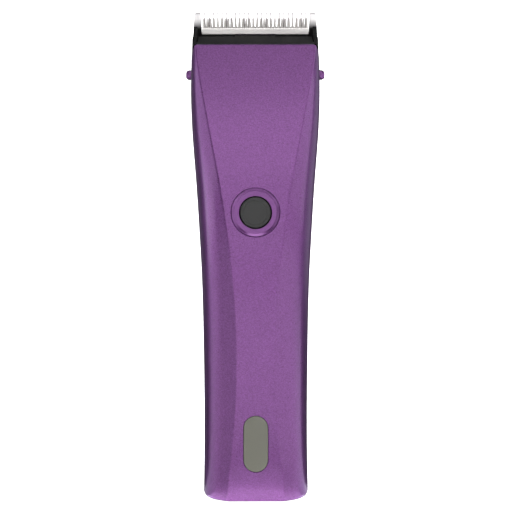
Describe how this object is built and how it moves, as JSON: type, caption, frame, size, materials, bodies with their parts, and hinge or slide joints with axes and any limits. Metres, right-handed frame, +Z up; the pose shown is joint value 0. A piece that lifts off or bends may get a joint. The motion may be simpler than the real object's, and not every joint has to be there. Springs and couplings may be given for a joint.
{
  "type": "electric pet clipper",
  "caption": "Cordless pet clipper with a faceted body, round push button, display window and a steel comb and cutter on a tilting blade set.",
  "frame": {"origin": "centre of the bounding box on the plane the clipper stands on", "axes": "+Z runs up the body to the comb tips; the switch and the window face -Y; +X is to the right of someone who looks at the switch"},
  "size_m": [0.053, 0.0434, 0.1788],
  "materials": {
    "purple_shell": "satin",
    "purple_bezel": "gloss",
    "black_plastic": "matte",
    "button_grey": "satin",
    "white_plastic": "matte",
    "dark_rubber": "matte",
    "seal_felt": "matte",
    "window_grey": "gloss",
    "panel_glass": "gloss",
    "board_green": "satin",
    "chip_black": "matte",
    "copper": "satin",
    "bronze": "satin",
    "gold_contact": "polished",
    "can_aluminium": "satin",
    "cell_wrap": "gloss",
    "nickel": "polished",
    "foam": "matte",
    "wire_red": "satin",
    "motor_steel": "satin",
    "core_steel": "satin",
    "magnet_grey": "matte",
    "carbon": "matte",
    "screw_steel": "satin",
    "spring_steel": "satin",
    "comb_steel": "polished",
    "cutter_steel": "satin"
  },
  "bodies": {
    "housing": {"front_shell": "purple_shell", "rear_shell": "purple_shell", "housing_screws": "screw_steel", "head_frame": "black_plastic", "frame_screws": "screw_steel", "heel_pin": "screw_steel", "latch_spring": "spring_steel", "drive_seal": "seal_felt", "switch_bezel": "purple_bezel", "switch_seal": "dark_rubber", "tact_switch": "black_plastic", "display_window": "window_grey", "display_panel": "panel_glass", "display_frame": "white_plastic", "main_board": "board_green", "board_screws": "screw_steel", "drive_chip": "chip_black", "board_coil": "copper", "board_capacitors": "can_aluminium", "battery_cell": "cell_wrap", "battery_cradle": "black_plastic", "battery_tabs": "nickel", "battery_pads": "foam", "dc_socket": "black_plastic", "dc_socket_pin": "nickel", "charge_contacts": "gold_contact", "socket_leads": "wire_red", "motor_can": "motor_steel", "motor_end_cap": "white_plastic", "motor_magnets": "magnet_grey", "motor_bushes": "bronze", "motor_brushes": "carbon", "motor_terminals": "bronze", "motor_screws": "screw_steel", "motor_leads": "wire_red"},
    "rotor": {"motor_shaft": "screw_steel", "rotor_core": "core_steel", "rotor_windings": "copper", "commutator": "copper", "eccentric": "white_plastic", "drive_pin": "screw_steel"},
    "button": {"switch_button": "button_grey", "switch_plunger": "white_plastic"},
    "blade_set": {"blade_base": "black_plastic", "comb_blade": "comb_steel", "comb_screws": "screw_steel", "detent_spring": "spring_steel"},
    "slide": {"length_slide": "purple_bezel"},
    "carriage": {"cutter_carriage": "black_plastic", "tension_spring": "spring_steel", "spring_screws": "screw_steel"},
    "cutter": {"cutter_blade": "cutter_steel", "cutter_follower": "white_plastic", "cutter_rivets": "screw_steel"}
  },
  "joints": [
    {"name": "power_button", "type": "slide", "parent": "housing", "child": "button", "axis": [0, 1, 0], "range_m": [0, 0.0008], "stiffness_N_per_m": 1500, "springref_m": -0.0003},
    {"name": "motor_spin", "type": "hinge", "parent": "housing", "child": "rotor", "pos_m": [0, -0.0009, 0.12], "axis": [0, 0, 1], "continuous": true},
    {"name": "blade_set_tilt", "type": "hinge", "parent": "housing", "child": "blade_set", "pos_m": [0, 0.01875, 0.15312], "axis": [-1, 0, 0], "range_deg": [0, 40]},
    {"name": "length_slide", "type": "slide", "parent": "blade_set", "child": "slide", "axis": [1, 0, 0], "range_m": [-0.003, 0.003]},
    {"name": "cutter_setback", "type": "slide", "parent": "blade_set", "child": "carriage", "axis": [0, -0.5736, 0.8192], "range_m": [-0.001, 0.001]},
    {"name": "cutter_stroke", "type": "slide", "parent": "carriage", "child": "cutter", "axis": [1, 0, 0], "range_m": [-0.0011, 0.0011]}
  ],
  "couplings": [
    {"joint": "cutter_setback", "follows": "length_slide", "ratio": 0.33333}
  ]
}
